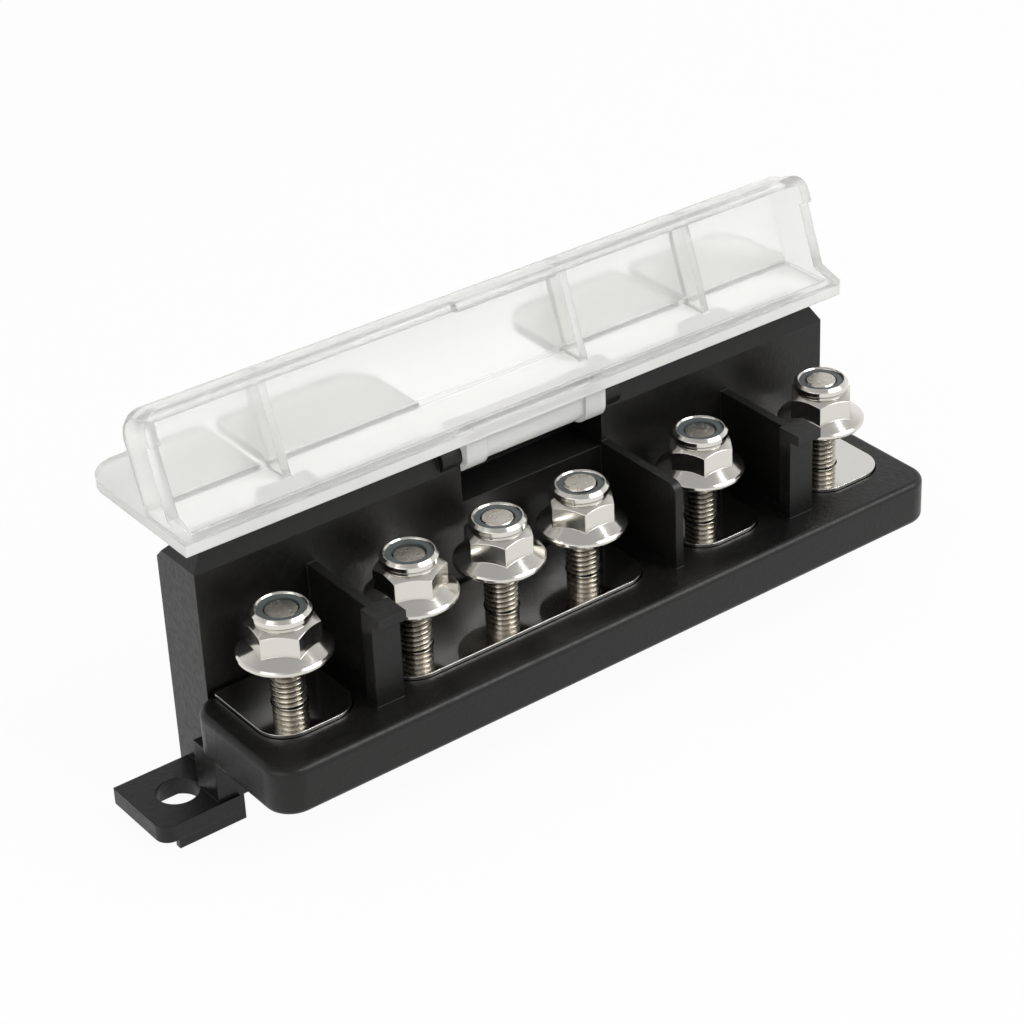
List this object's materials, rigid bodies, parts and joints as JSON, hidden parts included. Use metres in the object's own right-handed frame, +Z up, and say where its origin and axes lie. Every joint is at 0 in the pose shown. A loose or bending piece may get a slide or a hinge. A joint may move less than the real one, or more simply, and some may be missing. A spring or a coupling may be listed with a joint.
{
  "type": "power distribution block",
  "caption": "Low-voltage power distribution block: threaded studs on separate busbars in a moulded base, split by dividers, under a hinged clear cover.",
  "frame": {"origin": "in the mounting plane, midway between the two mounting holes", "axes": "+X along the row of studs, +Y from the studs towards the rear wall, +Z up from the mounting plane"},
  "size_m": [0.1646, 0.0578, 0.0735],
  "materials": {
    "housing": "fine-grained black moulding",
    "cover": "clear, slightly frosted moulding",
    "busbar": "bright tin plate",
    "stud": "rolled thread",
    "nut": "bright plated",
    "nylon": "blue-grey nylon"
  },
  "bodies": {
    "base": {"housing": "housing", "busbar_1": "busbar", "busbar_2": "busbar", "busbar_3": "busbar", "busbar_4": "busbar", "stud_1": "stud", "stud_2": "stud", "stud_3": "stud", "stud_4": "stud", "stud_5": "stud", "stud_6": "stud", "lock_nut_1": "nut", "lock_nut_2": "nut", "lock_nut_3": "nut", "lock_nut_4": "nut", "lock_nut_5": "nut", "lock_nut_6": "nut", "nylon_insert_1": "nylon", "nylon_insert_2": "nylon", "nylon_insert_3": "nylon", "nylon_insert_4": "nylon", "nylon_insert_5": "nylon", "nylon_insert_6": "nylon"},
    "cover": {"cover": "cover"}
  },
  "joints": [
    {"name": "cover_hinge", "type": "hinge", "parent": "base", "child": "cover", "pos_m": [0, 0.0004, 0.0478], "axis": [1, 0, 0], "range_deg": [0, 109.5]}
  ]
}
